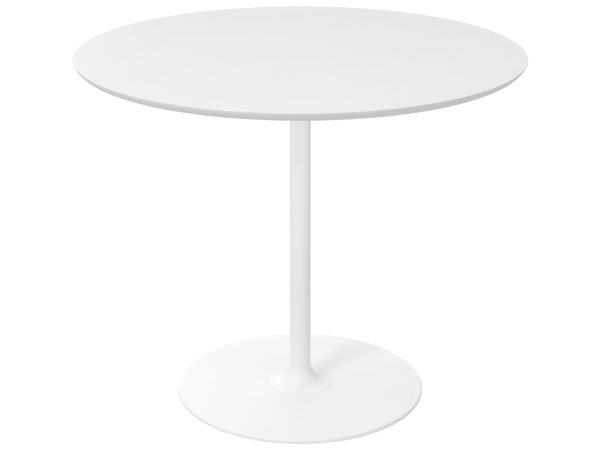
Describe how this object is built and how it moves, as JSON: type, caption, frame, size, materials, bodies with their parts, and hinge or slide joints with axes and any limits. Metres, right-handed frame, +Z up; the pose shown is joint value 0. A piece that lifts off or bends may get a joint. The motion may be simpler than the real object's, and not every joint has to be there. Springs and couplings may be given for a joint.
{
  "type": "round pedestal table",
  "caption": "Round pedestal table: thin round top with an under-cut edge on a slim column that flares into a low weighted round base with levelling glides.",
  "frame": {"origin": "on the floor plane, on the column's axis", "axes": "+Z up along the column's axis"},
  "size_m": [0.9139, 0.914, 0.75],
  "materials": {
    "white_lacquer": "satin white lacquer on fibreboard",
    "white_powder_coat": "gloss white powder coat",
    "white_rubber": "matt",
    "nylon": "moulded, matt",
    "cast_iron": "painted, as cast",
    "plain_steel": "turned",
    "zinc_plate": "bright zinc plate",
    "spring_steel": "dark",
    "zinc_alloy": "cast, dull"
  },
  "bodies": {
    "table": {"table_top": "white_lacquer", "threaded_inserts": "zinc_alloy", "mounting_plate": "white_powder_coat", "mounting_bolts": "zinc_plate", "bolt_spring_washers": "spring_steel", "bolt_flat_washers": "zinc_plate", "top_hub": "plain_steel", "column_tube": "white_powder_coat", "trumpet_foot": "white_powder_coat", "foot_plate": "plain_steel", "foot_gasket": "white_rubber", "tie_rod": "zinc_plate", "rod_nut": "zinc_plate", "rod_spring_washer": "spring_steel", "rod_washer": "zinc_plate", "base_cover": "white_powder_coat", "ballast_disc": "cast_iron"},
    "glide_1_foot": {"glide_foot_1": "nylon"},
    "glide_1_stud": {"glide_stud_1": "zinc_plate"},
    "glide_2_foot": {"glide_foot_2": "nylon"},
    "glide_2_stud": {"glide_stud_2": "zinc_plate"},
    "glide_3_foot": {"glide_foot_3": "nylon"},
    "glide_3_stud": {"glide_stud_3": "zinc_plate"},
    "glide_4_foot": {"glide_foot_4": "nylon"},
    "glide_4_stud": {"glide_stud_4": "zinc_plate"}
  },
  "joints": [
    {"name": "glide_1_travel", "type": "slide", "parent": "table", "child": "glide_1_foot", "axis": [0, 0, -1], "range_m": [0, 0.003]},
    {"name": "glide_1_turn", "type": "hinge", "parent": "glide_1_foot", "child": "glide_1_stud", "pos_m": [0.15203, 0.15203, 0.0015], "axis": [0, 0, -1], "range_deg": [0, 864]},
    {"name": "glide_2_travel", "type": "slide", "parent": "table", "child": "glide_2_foot", "axis": [0, 0, -1], "range_m": [0, 0.003]},
    {"name": "glide_2_turn", "type": "hinge", "parent": "glide_2_foot", "child": "glide_2_stud", "pos_m": [-0.15203, 0.15203, 0.0015], "axis": [0, 0, -1], "range_deg": [0, 864]},
    {"name": "glide_3_travel", "type": "slide", "parent": "table", "child": "glide_3_foot", "axis": [0, 0, -1], "range_m": [0, 0.003]},
    {"name": "glide_3_turn", "type": "hinge", "parent": "glide_3_foot", "child": "glide_3_stud", "pos_m": [-0.15203, -0.15203, 0.0015], "axis": [0, 0, -1], "range_deg": [0, 864]},
    {"name": "glide_4_travel", "type": "slide", "parent": "table", "child": "glide_4_foot", "axis": [0, 0, -1], "range_m": [0, 0.003]},
    {"name": "glide_4_turn", "type": "hinge", "parent": "glide_4_foot", "child": "glide_4_stud", "pos_m": [0.15203, -0.15203, 0.0015], "axis": [0, 0, -1], "range_deg": [0, 864]}
  ],
  "couplings": [
    {"joint": "glide_1_turn", "follows": "glide_1_travel", "rad_per_m": 5026.5},
    {"joint": "glide_2_turn", "follows": "glide_2_travel", "rad_per_m": 5026.5},
    {"joint": "glide_3_turn", "follows": "glide_3_travel", "rad_per_m": 5026.5},
    {"joint": "glide_4_turn", "follows": "glide_4_travel", "rad_per_m": 5026.5}
  ]
}
